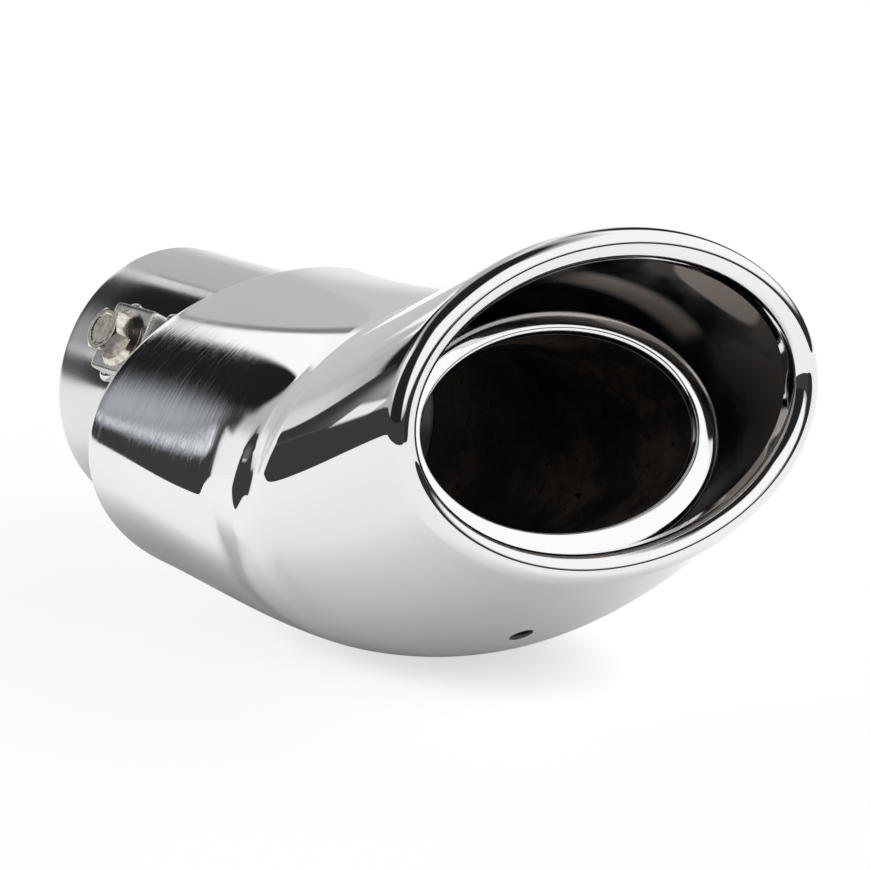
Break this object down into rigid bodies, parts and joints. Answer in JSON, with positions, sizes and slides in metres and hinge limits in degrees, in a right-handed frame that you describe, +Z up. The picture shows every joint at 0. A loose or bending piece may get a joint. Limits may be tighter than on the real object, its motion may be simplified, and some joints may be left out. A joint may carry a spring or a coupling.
{
  "type": "exhaust tip",
  "caption": "Polished double-walled oval exhaust tip with a round clamp-on inlet sleeve, turned up to a slanted mouth with a rolled edge.",
  "frame": {"origin": "centre of the inlet sleeve's open end", "axes": "+Y along the inlet's axis, out of its open end, so the mouth faces -Y; +Z up, away from the keel that the tip lies on; +X to the right of a viewer who faces the mouth"},
  "size_m": [0.127, 0.1775, 0.1028],
  "materials": {
    "polished_steel": "mirror-polished stainless steel",
    "pipe_steel": "polished lip, dull dark bore",
    "sleeve_steel": "polished stainless steel with fine brushing",
    "weld_nut": "plain stainless steel",
    "bolt": "plain stainless steel"
  },
  "bodies": {
    "root": {"outer_shell": "polished_steel", "inner_pipe": "pipe_steel", "inlet_sleeve": "sleeve_steel", "clamp_nut": "weld_nut", "clamp_bolt": "bolt"}
  },
  "joints": []
}
